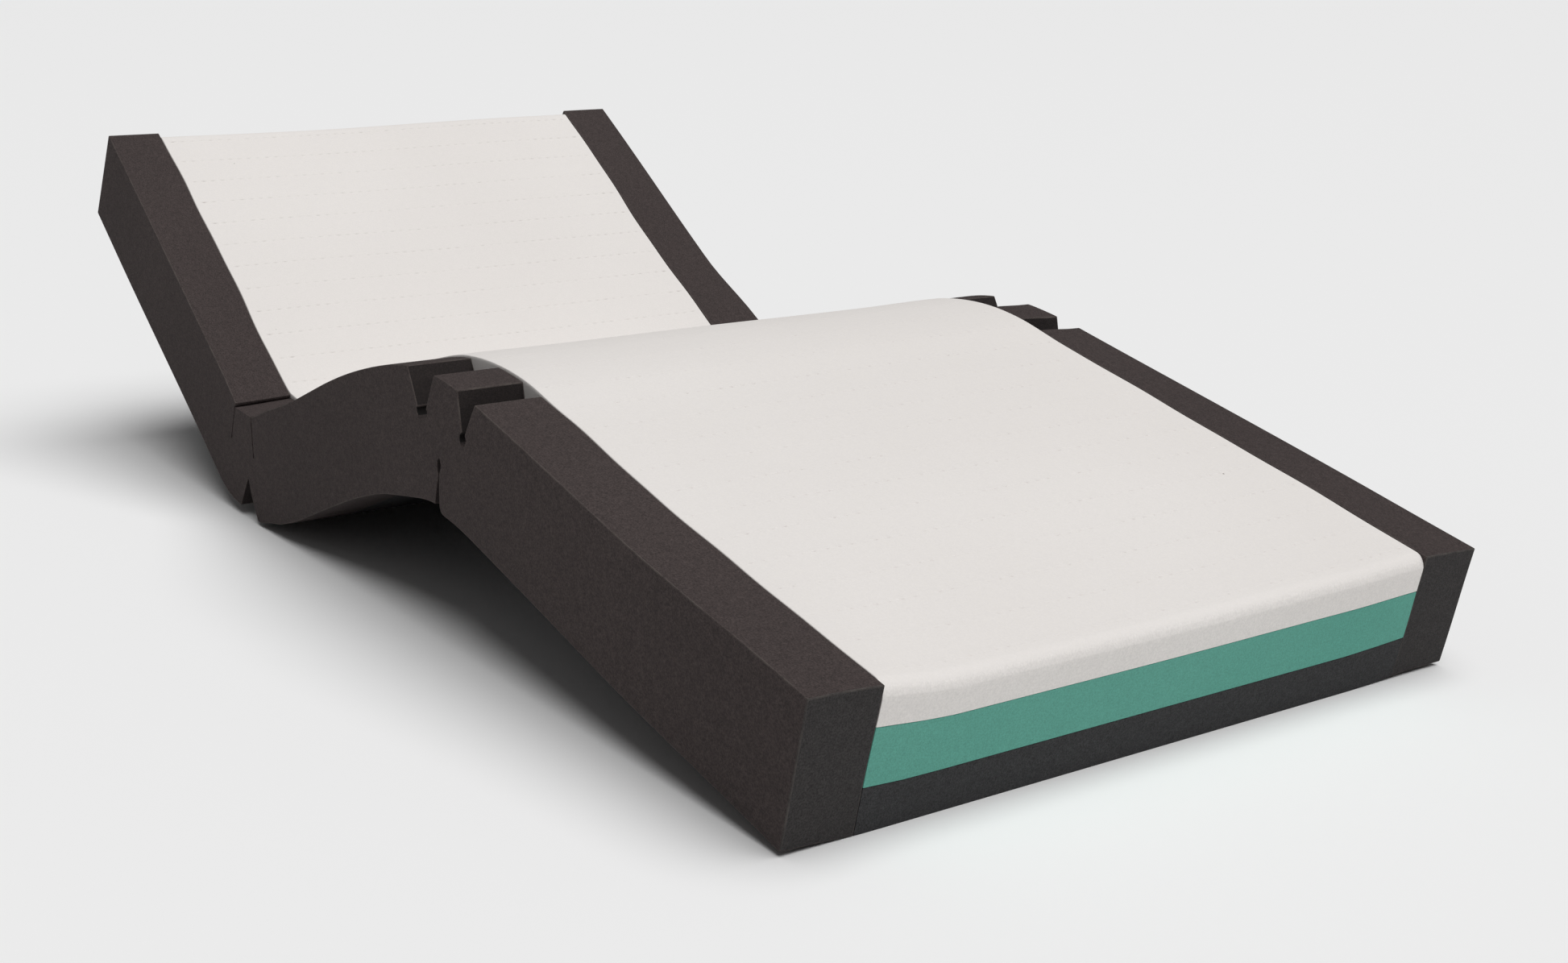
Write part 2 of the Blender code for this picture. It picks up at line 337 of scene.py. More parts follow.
# Slit under the knee: (distance from its middle, height below its top), from the bottom up
SLIT_HEIGHT = 0.061
SLIT_TOP = -HALF + SLIT_HEIGHT
SLIT_THIGH_WALL = [(0.0085, SLIT_HEIGHT), (0.0006, 0.022), (0.0010, 0.018), (0.0030, 0.013),
                   (0.0040, 0.008), (0.0030, 0.003)]
SLIT_CALF_WALL = [(0.0030, SLIT_HEIGHT - 0.014), (0.0006, 0.022), (0.0010, 0.018),
                  (0.0040, 0.012), (0.0044, 0.007), (0.0020, 0.001)]

# The calf's rounded lower corner at the slit: (distance from the slit, height)
CALF_CORNER = [(0.0034, 0.011), (0.0050, 0.0062), (0.0082, 0.0026), (0.0126, 0.0008), (0.0170, 0.0)]


def flat_wall(line, side, profile):
    """One wall of a knee cut, from its root up, as flat points."""
    heading_rate = float(ROWS[np.searchsorted(ROWS[:, 0], line, side="right") - 1][4])
    points = [(line, ROOT)]
    for half, rise in profile:
        h = ROOT + rise
        points.append((line + side * half / (1 - heading_rate * h), h))
    return points


def hip_wall(line, side, row, top):
    """One wall of a closed hip cut, from its root up, as flat points of a straight row."""
    heading = heading_at(line)
    points = []
    for half, rise in HIP_PROFILE + top:
        x, z = lay(np.array([line]), np.array([ROOT + rise]))
        x = x[0] + side * half * math.cos(heading)
        z = z[0] + side * half * math.sin(heading)
        points.append(to_straight(x, z, row))
    return points


def root_line(start, end, row):
    """The level of the cuts' roots from start to end, as flat points of a straight row."""
    places = np.linspace(start, end, ROOT_POINTS)
    x, z = lay(places, np.full(ROOT_POINTS, ROOT))
    return [to_straight(px, pz, row) for px, pz in zip(x, z)]


def slit_wall(side, wall):
    """One wall of the slit under the knee, from the bottom up, ending at the slit's top."""
    points = [(KNEE_SLIT + side * half, SLIT_TOP - below) for half, below in wall]
    return points + [(KNEE_SLIT, SLIT_TOP)]


def rail_outlines():
    """Outline of each rail piece as [(s, h, is_seam)].

    A seam, which meets the next piece, and a cut that is pressed shut keep sharp edges.
    """
    low, high = -HALF, HALF

    def real(points):
        return [(s, h, False) for s, h in points]

    def seam(points):
        return [(s, h, True) for s, h in points]

    def over_low(points):
        return [(s, low + rise) for s, rise in points]

    back_root = root_line(WEB_UPPER[0], HIP_UPPER - ROOT_HALF, BACK_ROW)
    back_wall = hip_wall(HIP_UPPER, -1, BACK_ROW, OVERHANG)
    backrest = (real([(0.0, low)]) + seam([(WEB_UPPER[0], low)]) + seam(back_root)[:-1]
                + seam(back_wall[:-2]) + real(back_wall[-2:]) + real([(0.0, high)]))

    web_upper = (real([(WEB_UPPER[0], low)]) + seam([(WEB_UPPER[1], low), (WEB_UPPER[1], ROOT)])
                 + seam([(WEB_UPPER[0], ROOT)]))

    notch_share = (WEB_LOWER[0] - NOTCH_HEAD[0]) / (NOTCH_APEX[0] - NOTCH_HEAD[0])
    crossing = (WEB_LOWER[0], low + NOTCH_APEX[1] * notch_share)
    tooth_left = root_line(WEB_UPPER[1], HIP_UPPER + ROOT_HALF, TOOTH_ROW)
    tooth_right = root_line(HIP_LOWER - ROOT_HALF, WEB_LOWER[0], TOOTH_ROW)
    wall_left = hip_wall(HIP_UPPER, 1, TOOTH_ROW, UNDERHUNG)
    wall_right = hip_wall(HIP_LOWER, -1, TOOTH_ROW, HIP_LOWER_TOP)
    tooth = (real([(WEB_UPPER[1], low)]) + real(over_low([NOTCH_HEAD])) + seam([crossing])
             + seam(tooth_right[::-1])[:-1] + seam(wall_right) + seam(wall_left[::-1])[:-1]
             + seam(tooth_left[::-1]))

    web_lower = (real([crossing]) + real(over_low([NOTCH_APEX] + NOTCH_SEAT_SIDE))
                 + seam([(WEB_LOWER[1], low), (WEB_LOWER[1], ROOT), (WEB_LOWER[0], ROOT)]))

    seat_root = root_line(WEB_LOWER[1], HIP_LOWER + ROOT_HALF, SEAT_ROW)
    seat_wall = hip_wall(HIP_LOWER, 1, SEAT_ROW, HIP_LOWER_TOP)
    seat = (real([(WEB_LOWER[1], low)]) + seam([(THIGH_MIDDLE, low)]) + real([(THIGH_MIDDLE, high)])
            + seam(seat_wall[::-1])[:-1] + seam(seat_root[::-1]))

    upper_left = flat_wall(KNEE_UPPER, -1, KNEE_UPPER_PROFILE)
    upper_right = flat_wall(KNEE_UPPER, 1, KNEE_UPPER_PROFILE)
    slit_left = slit_wall(-1, SLIT_THIGH_WALL)
    thigh = (real([(THIGH_MIDDLE, low)]) + real(slit_left[:-1]) + seam([slit_left[-1]])
             + real([(KNEE_SLIT, high)]) + real(upper_right[::-1]) + real(upper_left[1:])
             + seam([(THIGH_MIDDLE, high)]))

    lower_left = flat_wall(KNEE_LOWER, -1, KNEE_LOWER_PROFILE)
    lower_right = flat_wall(KNEE_LOWER, 1, KNEE_LOWER_PROFILE)
    slit_right = slit_wall(1, SLIT_CALF_WALL)
    corner = over_low([(KNEE_SLIT + along, rise) for along, rise in CALF_CORNER])
    calf = (real(corner) + real([(LENGTH, low), (LENGTH, high)]) + real(lower_right[::-1])
            + real(lower_left[1:]) + seam([(KNEE_SLIT, high)])
            + real(slit_right[::-1]))
    return {
        "backrest": backrest,
        "web_upper": web_upper,
        "hip_tooth": tooth,
        "web_lower": web_lower,
        "seat": seat,
        "thigh": thigh,
        "calf": calf,
    }


SAME_POINT = 5e-5


def clean_outline(points):
    """Outline without points that repeat the one before."""
    kept = []
    for point in points:
        if kept and math.dist(point[:2], kept[-1][:2]) < SAME_POINT:
            kept[-1] = point
            continue
        kept.append(point)
    if math.dist(kept[0][:2], kept[-1][:2]) < SAME_POINT:
        kept.pop()
    return kept


# Half widths, places and heights within which a face belongs to a cut, for where the painted highlight
# is left off and where painted shade goes
SHUT_SLIT_HALF = 0.008
SHUT_SLIT_TOP = -0.012
SHUT_HIP_HALF = 0.017
SHUT_HOLE_HALF = 0.010
HOLE_MARGIN = 0.002
SHADED_SLIT_HALF = 0.010
SHADED_NOTCH = (0.653, 0.6995)
NOTCH_HEIGHTS = (0.002, 0.058)
SLIT_HEIGHTS = (0.002, 0.062)

# How much painted shade the cuts get, from 0 to 1: (at its light end, how much darker at its dark end)
HOLE_SHADE = (0.30, 0.65)
HOLE_FADE = 0.006
UPPER_WALL_SHADE = (0.64, 0.12)
LOWER_WALL_SHADE = (0.66, 0.17)
NARROW_CUT_SHADE = 0.54


def from_knee_cuts(s):
    """Distances of s from the two V cuts over the knee."""
    return abs(s - KNEE_UPPER), abs(s - KNEE_LOWER)


def shut(s, h):
    """True on the edges of the keyholes and of the cuts that are pressed shut, which get no painted
    highlight and stay dark.
    """
    slit = abs(s - KNEE_SLIT) < SHUT_SLIT_HALF and h < SHUT_SLIT_TOP
    from_hip = min(abs(s - HIP_UPPER), abs(s - HIP_LOWER))
    hip = from_hip < SHUT_HIP_HALF and h > ROOT - HOLE_MARGIN
    in_hole = ROOT - HOLE_MARGIN < h < NECK + HOLE_MARGIN
    hole = min(from_knee_cuts(s)) < SHUT_HOLE_HALF and in_hole
    return slit or hip or hole


def painted_cut_shade(s, h):
    """How much painted shade the wall of a cut gets there: more with depth, and the keyholes the most.
    """
    from_upper, from_lower = from_knee_cuts(s)
    if ROOT < h < NECK and min(from_upper, from_lower) < HOLE_HALF:
        return HOLE_SHADE[0] + HOLE_SHADE[1] * float(smooth(ROOT, ROOT + HOLE_FADE, h))
    depth = 1 - float(smooth(NECK, HALF, h))
    on_wall = NECK < h < HALF - RIM
    if on_wall and from_upper < KNEE_UPPER_TOP:
        return UPPER_WALL_SHADE[0] + UPPER_WALL_SHADE[1] * depth
    if on_wall and from_lower < KNEE_LOWER_TOP:
        return LOWER_WALL_SHADE[0] + LOWER_WALL_SHADE[1] * depth
    height = h + HALF
    notch = SHADED_NOTCH[0] < s < SHADED_NOTCH[1] and NOTCH_HEIGHTS[0] < height < NOTCH_HEIGHTS[1]
    slit = abs(s - KNEE_SLIT) < SHADED_SLIT_HALF and SLIT_HEIGHTS[0] < height < SLIT_HEIGHTS[1]
    return NARROW_CUT_SHADE if notch or slit else 0.0


SHARP_CORNER = math.cos(math.radians(33))
SIDE_FACE = 0.5
SAME_PLACE = 1e-5


def prism(points, y_low, y_high, cuts_s, cuts_h, cuts_y):
    """Prism of a flat outline with its real edges softened, cut up by planes for bending."""
    points = clean_outline(points)
    work = bmesh.new()
    edge_highlight = work.faces.layers.float.new("edge_highlight")
    lower = [work.verts.new((s, y_low, h)) for s, h, _ in points]
    upper = [work.verts.new((s, y_high, h)) for s, h, _ in points]
    work.faces.new(lower)
    work.faces.new(upper[::-1])
    count = len(points)
    for i in range(count):
        j = (i + 1) % count
        work.faces.new((lower[i], upper[i], upper[j], lower[j]))
    bmesh.ops.recalc_face_normals(work, faces=work.faces)
    chosen = []
    for i in range(count):
        j, before = (i + 1) % count, i - 1
        if not points[i][2]:
            chosen.append(work.edges.get((lower[i], lower[j])))
            chosen.append(work.edges.get((upper[i], upper[j])))
        if not points[i][2] and not points[before][2]:
            here = Vector(points[i][:2])
            one = (here - Vector(points[before][:2])).normalized()
            two = (Vector(points[j][:2]) - here).normalized()
            if one.dot(two) < SHARP_CORNER:
                chosen.append(work.edges.get((lower[i], upper[i])))
    bevelled = bmesh.ops.bevel(work, geom=chosen, offset=RIM, segments=2, profile=0.6,
                               affect="EDGES", clamp_overlap=True)
    # The rounded rims get a painted highlight, except on the keyholes and the cuts pressed shut
    for face in bevelled["faces"]:
        centre = face.calc_center_median()
        face[edge_highlight] = 0.0 if shut(centre.x, centre.z) else 1.0
    raw = work.faces.layers.float.new("raw")
    cut = work.faces.layers.float.new("cut")
    for face in work.faces:
        face[raw] = 1.0 if min(vert.co.x for vert in face.verts) > LENGTH - 2 * RIM else 0.0
    for normal, places in (((1, 0, 0), cuts_s), ((0, 0, 1), cuts_h), ((0, 1, 0), cuts_y)):
        for place in places:
            geometry = work.verts[:] + work.edges[:] + work.faces[:]
            point = Vector(normal) * place
            bmesh.ops.bisect_plane(work, geom=geometry, dist=SAME_PLACE,
                                   plane_co=point, plane_no=normal)
    # Faces inside the cuts get painted shade, darker deeper down; side faces and highlighted rims get
    # none
    for face in work.faces:
        outside = abs(face.normal.y) > SIDE_FACE or face[edge_highlight] > 0.0
        centre = face.calc_center_median()
        face[cut] = 0.0 if outside else painted_cut_shade(centre.x, centre.z)
    return work


RAIL_PIECES = {
    # name: (first row, last row, step along, finer step, finer from, finer to)
    "backrest": (BACK_ROW, BACK_ROW, 0.030, 0.030, 0, 0),
    "web_upper": (0, None, 0.004, 0.004, 0, 0),
    "hip_tooth": (TOOTH_ROW, TOOTH_ROW, 0.020, 0.020, 0, 0),
    "web_lower": (0, None, 0.004, 0.004, 0, 0),
    "seat": (SEAT_ROW, None, 0.012, 0.012, 0, 0),
    "thigh": (0, None, 0.020, 0.006, 1.17, 1.30),
    "calf": (0, None, 0.030, 0.005, 1.29, 1.41),
}
# The pieces that ride on one body, those that span two, and the nodes they stand for
RAIL_BODIES = {"backrest": "backrest", "hip_tooth": "hip_link"}
RAIL_BENDS = {
    # name: (body, next body, hinge line, bend before it, bend after it)
    "web_upper": ("backrest", "hip_link", HIP_UPPER, 0.026, 0.026),
    "web_lower": ("hip_link", "seat", HIP_LOWER, 0.026, 0.026),
    "seat": ("seat", "thigh", FLEX_LINE, 0.050, 0.050),
    "thigh": ("thigh", "knee_link", KNEE_UPPER, 0.034, 0.033),
    "calf": ("knee_link", "calf", KNEE_LOWER, 0.028, 0.028),
}
RAIL_NODES = {
    "backrest": ("backrest",),
    "hip_tooth": ("hip_hinge",),
    "seat": ("seat", "thigh_flex"),
    "thigh": ("thigh",),
    "calf": ("knee_hinge", "calf"),
}
ROWS_UP = 8
ROWS_ACROSS = 4
END_MARGIN = 0.002


def steps(low, high, coarse, fine, fine_from, fine_to):
    """Places between low and high, closer together between fine_from and fine_to."""
    places = []
    s = low
    while s < high - END_MARGIN:
        s += fine if fine_from <= s < fine_to else coarse
        if low + END_MARGIN < s < high - END_MARGIN:
            places.append(s)
    return places


THIGH_DRAWN_UP = 0.005
CALF_PUSHED_DOWN = 0.002
SQUEEZED_HEIGHT = 0.045


def bulge_at_knee(s, h):
    """The squeezed foam under the knee: the thigh's edge is drawn up, the calf's pushed down."""
    low = 1 - smooth(-HALF, -HALF + SQUEEZED_HEIGHT, h)
    thigh = THIGH_DRAWN_UP * smooth(1.20, 1.296, s) * (s < KNEE_SLIT)
    calf = CALF_PUSHED_DOWN * (1 - smooth(1.30, 1.40, s)) * (s >= KNEE_SLIT)
    return (thigh - calf) * low


def make_rail(side, label, piece, outline, material):
    """One piece of a side rail, laid on the folded centre line."""
    first, last, coarse, fine, fine_from, fine_to = RAIL_PIECES[piece]
    s_values = [point[0] for point in outline]
    cuts_s = steps(min(s_values), max(s_values), coarse, fine, fine_from, fine_to)
    cuts_h = list(np.linspace(-HALF, HALF, ROWS_UP + 1)[1:-1])
    y_values = sorted((side * RAIL_Y, side * EDGE_Y))
    cuts_y = list(np.linspace(y_values[0], y_values[1], ROWS_ACROSS + 1)[1:-1])
    work = prism(outline, y_values[0], y_values[1], cuts_s, cuts_h, cuts_y)
    mesh = bpy.data.meshes.new(f"foam_{label}_{piece}")
    work.to_mesh(mesh)
    work.free()
    co = np.zeros(len(mesh.vertices) * 3)
    mesh.vertices.foreach_get("co", co)
    s, y, h = co.reshape(-1, 3).T
    dy, dh = soft_field(s, y, h)
    x, z = lay(s, h + dh + bulge_at_knee(s, h), first, last)
    mesh.vertices.foreach_set("co", np.stack((x, y + dy, z), 1).ravel())
    return finish_mesh(f"foam_{label}_{piece}", mesh, material)


# ---------------------------------------------------------------- core layers

def rounded(a, b, a_span, b_span, radius):
    """Points on a rectangle's outline moved onto the same outline with round corners."""
    inner_a = np.clip(a, a_span[0] + radius, a_span[1] - radius)
    inner_b = np.clip(b, b_span[0] + radius, b_span[1] - radius)
    away_a, away_b = a - inner_a, b - inner_b
    size = np.maximum(np.hypot(away_a, away_b), radius)
    return inner_a + away_a * radius / size, inner_b + away_b * radius / size


# A wide bottom needs only every so many of the lines across
BOTTOM_STRIDE = 12


def box_grid(s_list, y_list, h_list):
    """Closed box surface on the given lines: vertex array (s, y, h) and faces."""
    verts = {}
    order = []
    faces = []

    def vertex(i, j, k):
        key = (i, j, k)
        if key not in verts:
            verts[key] = len(order)
            order.append((s_list[i], y_list[j], h_list[k]))
        return verts[key]

    ni, nj, nk = len(s_list) - 1, len(y_list) - 1, len(h_list) - 1
    for i in range(ni):
        for j in range(nj):
            faces.append([vertex(i, j, nk), vertex(i + 1, j, nk),
                          vertex(i + 1, j + 1, nk), vertex(i, j + 1, nk)])
    for k in range(nk):
        for i in range(ni):
            faces.append([vertex(i, 0, k), vertex(i + 1, 0, k),
                          vertex(i + 1, 0, k + 1), vertex(i, 0, k + 1)])
            faces.append([vertex(i + 1, nj, k), vertex(i, nj, k),
                          vertex(i, nj, k + 1), vertex(i + 1, nj, k + 1)])
        for j in range(nj):
            faces.append([vertex(0, j + 1, k), vertex(0, j, k),
                          vertex(0, j, k + 1), vertex(0, j + 1, k + 1)])
            faces.append([vertex(ni, j, k), vertex(ni, j + 1, k),
                          vertex(ni, j + 1, k + 1), vertex(ni, j, k + 1)])
    columns = list(range(0, nj, BOTTOM_STRIDE if nj > 4 * BOTTOM_STRIDE else 1)) + [nj]
    for i in range(ni):
        for first, last in zip(columns, columns[1:]):
            every = range(first, last + 1)
            start = [vertex(i, j, 0) for j in (every if i == 0 else (first, last))]
            end = [vertex(i + 1, j, 0) for j in (every if i == ni - 1 else (first, last))]
            faces.append(start + end[::-1])
    return np.array(order), faces


ROUND_SHARES = (0.12, 0.3, 0.5, 0.75, 1.0)
CLOSEST_LINES = 2e-4


def graded(low, high, step, edge_low, edge_high, round_by):
    """Places a step apart from low to high, with close ones where a rounded end needs them."""
    first, last = math.ceil(low / step), int(high / step)
    places = {low, high} | {round(step * k, 6) for k in range(first, last + 1)}
    for share in ROUND_SHARES:
        if edge_low:
            places.add(round(low + round_by * share, 6))
        if edge_high:
            places.add(round(high - round_by * share, 6))
    kept = []
    for place in sorted(places):
        if kept and place - kept[-1] < CLOSEST_LINES:
            continue
        kept.append(place)
    kept[-1] = high
    return kept


SECTIONS = {
    # name: (from, to, body, next body, hinge line, bend before it, bend after it)
    "backrest": (0.0, HIP_MIDDLE, "backrest", "hip_link", HIP_UPPER, 0.045, 0.025),
    "hip": (HIP_MIDDLE, SEAT_MIDDLE, "hip_link", "seat", HIP_LOWER, 0.025, 0.038),
    "seat": (SEAT_MIDDLE, THIGH_MIDDLE, "seat", "thigh", FLEX_LINE, 0.060, 0.060),
    "thigh": (THIGH_MIDDLE, KNEE_SLIT, "thigh", "knee_link", KNEE_UPPER, 0.050, 0.030),
    "calf": (KNEE_SLIT, LENGTH, "knee_link", "calf", KNEE_LOWER, 0.030, 0.050),
}
SECTION_NODES = {
    "backrest": ("backrest",),
    "hip": ("hip_hinge", "seat"),
    "seat": ("thigh_flex",),
    "thigh": ("thigh",),
    "calf": ("knee_hinge", "calf"),
}
GLUE_GAP = 0.0002
LAYERS = {
    # name: (from height, to height, end radius, step across, die cuts in its top)
    "base": (-HALF, BASE_TOP - GLUE_GAP, 0.0012, 0.045, False),
    "middle": (BASE_TOP + GLUE_GAP, MIDDLE_TOP - GLUE_GAP, 0.0015, 0.045, False),
    "top": (MIDDLE_TOP + GLUE_GAP, HALF, 0.0160, 0.003, True),
}
STEP_ALONG = 0.012
STEP_UP = 0.009
SIDE_RADIUS = 0.0020
ON_FACE = 1e-6
# How far below a layer its lower edges are taken to be, where they aren't rounded
NO_ROUND = 1.0

# Rows of small die cuts in the top layer, on the backrest and from the seat to the foot
CUT_ROW_PITCH = 0.050
CUT_ROWS = ([0.023 + CUT_ROW_PITCH * k for k in range(12)]
            + [0.7045 + CUT_ROW_PITCH * k for k in range(26)])
BACK_END = 0.66
CUT_PITCH = 0.015
CUT_HALF_LENGTH = 0.0040
CUT_LINES = (-0.0060, -0.0030, -0.0012, -0.0003, 0.0003, 0.0011, 0.0026)
CUT_REACH = (-0.008, 0.005)
LIP_LENGTH = 0.0062
GROOVE_WIDTH = 0.0009
SHIFT_REACH = 0.004
# (height of the lip, depth of the groove, shift of the lip, how dark the groove's painted shade is)
BACK_CUT = (0.0001, 0.0006, 0.00024, 0.6)
SEAT_CUT = (0.0007, 0.0004, 0.0012, 0.4)
KNEE_PAD_RISE = 0.0028
KNEE_PAD_STRETCH = (1.10, 1.22, 1.33, 1.42)
CLEAR_OF_EDGE = 0.004
CLEAR_OF_END = 0.001
CLOSEST_CUT_LINES = 1.5e-4


def cut_line_places(low, high):
    """Places of the mesh lines that the die cuts need, between low and high."""
    places = []
    for row in CUT_ROWS:
        lines = [row + offset for offset in CUT_LINES]
        places += [place for place in lines if low + CLEAR_OF_END < place < high - CLEAR_OF_END]
    return places


def die_cuts(s, y, top):
    """Moves top points into rows of small die cuts: (ds, dh, painted shade in the groove)."""
    ds = np.zeros_like(s)
    dh = np.zeros_like(s)
    depth = np.zeros_like(s)
    column = np.round(y / CUT_PITCH)
    off = y - column * CUT_PITCH
    bump = np.clip(1 - (off / CUT_HALF_LENGTH) ** 2, 0, 1)
    inside = (np.abs(y) < RAIL_Y - CLEAR_OF_EDGE) & top
    for index, row in enumerate(CUT_ROWS):
        here = inside & (s > row + CUT_REACH[0]) & (s < row + CUT_REACH[1])
        if not here.any():
            continue
        away = s[here] - row
        # Each cut is open by its own share, from a fixed scatter of its row and column
        chance = np.sin(column[here] * 12.9898 + index * 78.233) * 43758.5453
        vary = 0.45 + 0.85 * (chance - np.floor(chance))
        # The backrest's cuts are flatter and deeper, most of all at the sides
        back = row < BACK_END
        raised, sunk, shift, dark = BACK_CUT if back else SEAT_CUT
        if back:
            vary = vary * (1 + 0.8 * smooth(RAIL_Y - 0.050, RAIL_Y - 0.005, np.abs(y[here])))
        lip = np.clip(1 + away / LIP_LENGTH, 0, 1) ** 2 * (away < 0.0001)
        groove = np.exp(-((away - 0.0003) / GROOVE_WIDTH) ** 2)
        dh[here] += bump[here] * vary * (raised * lip - sunk * groove)
        ds[here] += bump[here] * shift * np.exp(-(away / SHIFT_REACH) ** 2)
        # The groove also gets painted shade
        depth[here] = np.maximum(depth[here], bump[here] * vary * groove * dark)
    return ds, dh, depth


def lines_along(start, end, radius, has_cuts):
    """Places of the mesh lines along a section, from its head side."""
    places = graded(start, end, STEP_ALONG, start == 0.0, end == LENGTH, radius)
    if not has_cuts:
        return places
    places = sorted(set(places) | {round(place, 6) for place in cut_line_places(start, end)})
    return [s for i, s in enumerate(places)
            if i in (0, len(places) - 1) or s - places[i - 1] > CLOSEST_CUT_LINES]


def make_layer(layer, section, material):
    """One section of a core layer, laid on the folded centre line."""
    low, high, radius, step_y, has_cuts = LAYERS[layer]
    start, end = SECTIONS[section][:2]
    is_base = layer == "base"
    s_list = lines_along(start, end, radius, has_cuts)
    y_list = graded(-CORE_Y, CORE_Y, step_y, True, True, SIDE_RADIUS)
    h_list = graded(low, high, STEP_UP, is_base, True, radius)
    order, faces = box_grid(s_list, y_list, h_list)
    s, y, h = order.T
    depth = np.zeros_like(s)
    ds_cut, dh_cut = np.zeros_like(s), np.zeros_like(s)
    if has_cuts:
        ds_cut, dh_cut, depth = die_cuts(s, y, h > high - ON_FACE)
    outer = (s < ON_FACE) | (s > LENGTH - ON_FACE) | (h < low + ON_FACE)
    raw = np.where(outer, 1.0, 0.0)
    # Only the base is rounded at its lower edges too, and only at its ends
    s, h = rounded(s, h, (0.0, LENGTH), (low if is_base else low - NO_ROUND, high), radius)
    y, h = rounded(y, h, (-CORE_Y, CORE_Y), (low - NO_ROUND, high), SIDE_RADIUS)
    if has_cuts:
        h = h + KNEE_PAD_RISE * hump(s, *KNEE_PAD_STRETCH) * smooth(low, high, h)
    dy, dh = soft_field(s, y, h)
    x, z = lay_soft(s + ds_cut, h + dh + dh_cut)
    mesh = bpy.data.meshes.new(f"foam_{layer}_{section}")
    mesh.from_pydata(np.stack((x, y + dy, z), 1).tolist(), [], faces)
    mesh.update()
    # The die cuts' painted groove shade and the raw faces go to the look as attributes
    for name, values in (("cut", depth), ("raw", raw)):
        layer_values = mesh.attributes.new(name, "FLOAT", "POINT")
        layer_values.data.foreach_set("value", values.astype(np.float32))
    return finish_mesh(f"foam_{layer}_{section}", mesh, material, sharp_degrees=50.0)


# ---------------------------------------------------------------- materials

class Graph:
    """A material's node tree, built a line at a time."""

    def __init__(self, name):
        self.material = bpy.data.materials.new(name)
        self.material.use_nodes = True
        self.tree = self.material.node_tree
        self.shader = self.tree.nodes["Principled BSDF"]

    def add(self, kind, **settings):
        node = self.tree.nodes.new(kind)
        for key, value in settings.items():
            if key.startswith("in_"):
                node.inputs[key[3:].replace("_", " ")].default_value = value
            else:
                setattr(node, key, value)
        return node

    def link(self, start, end):
        self.tree.links.new(start, end)

    def mix(self, factor, first, second, blend="MIX"):
        node = self.add("ShaderNodeMix", data_type="RGBA", blend_type=blend)
        for index, value in ((0, factor), (6, first), (7, second)):
            socket = node.inputs[index]
            if isinstance(value, (int, float, tuple)):
                socket.default_value = value
            else:
                self.link(value, socket)
        return node.outputs[2]

    def noise(self, place, scale, detail, roughness=0.5):
        node = self.add("ShaderNodeTexNoise", in_Scale=scale, in_Detail=detail, in_Roughness=roughness)
        self.link(place, node.inputs["Vector"])
        return node.outputs["Fac"]

    def ramp(self, value, low, high, to_low=0.0, to_high=1.0):
        node = self.add("ShaderNodeMapRange")
        self.link(value, node.inputs["Value"])
        numbers = {"From Min": low, "From Max": high, "To Min": to_low, "To Max": to_high}
        for socket, number in numbers.items():
            node.inputs[socket].default_value = number
        return node.outputs["Result"]

    def times(self, first, second):
        node = self.add("ShaderNodeMath", operation="MULTIPLY")
        for socket, value in ((node.inputs[0], first), (node.inputs[1], second)):
            if isinstance(value, float):
                socket.default_value = value
            else:
                self.link(value, socket)
        return node.outputs[0]


# Where nearly all values of a noise lie
NOISE_SPAN = (0.3, 0.7)


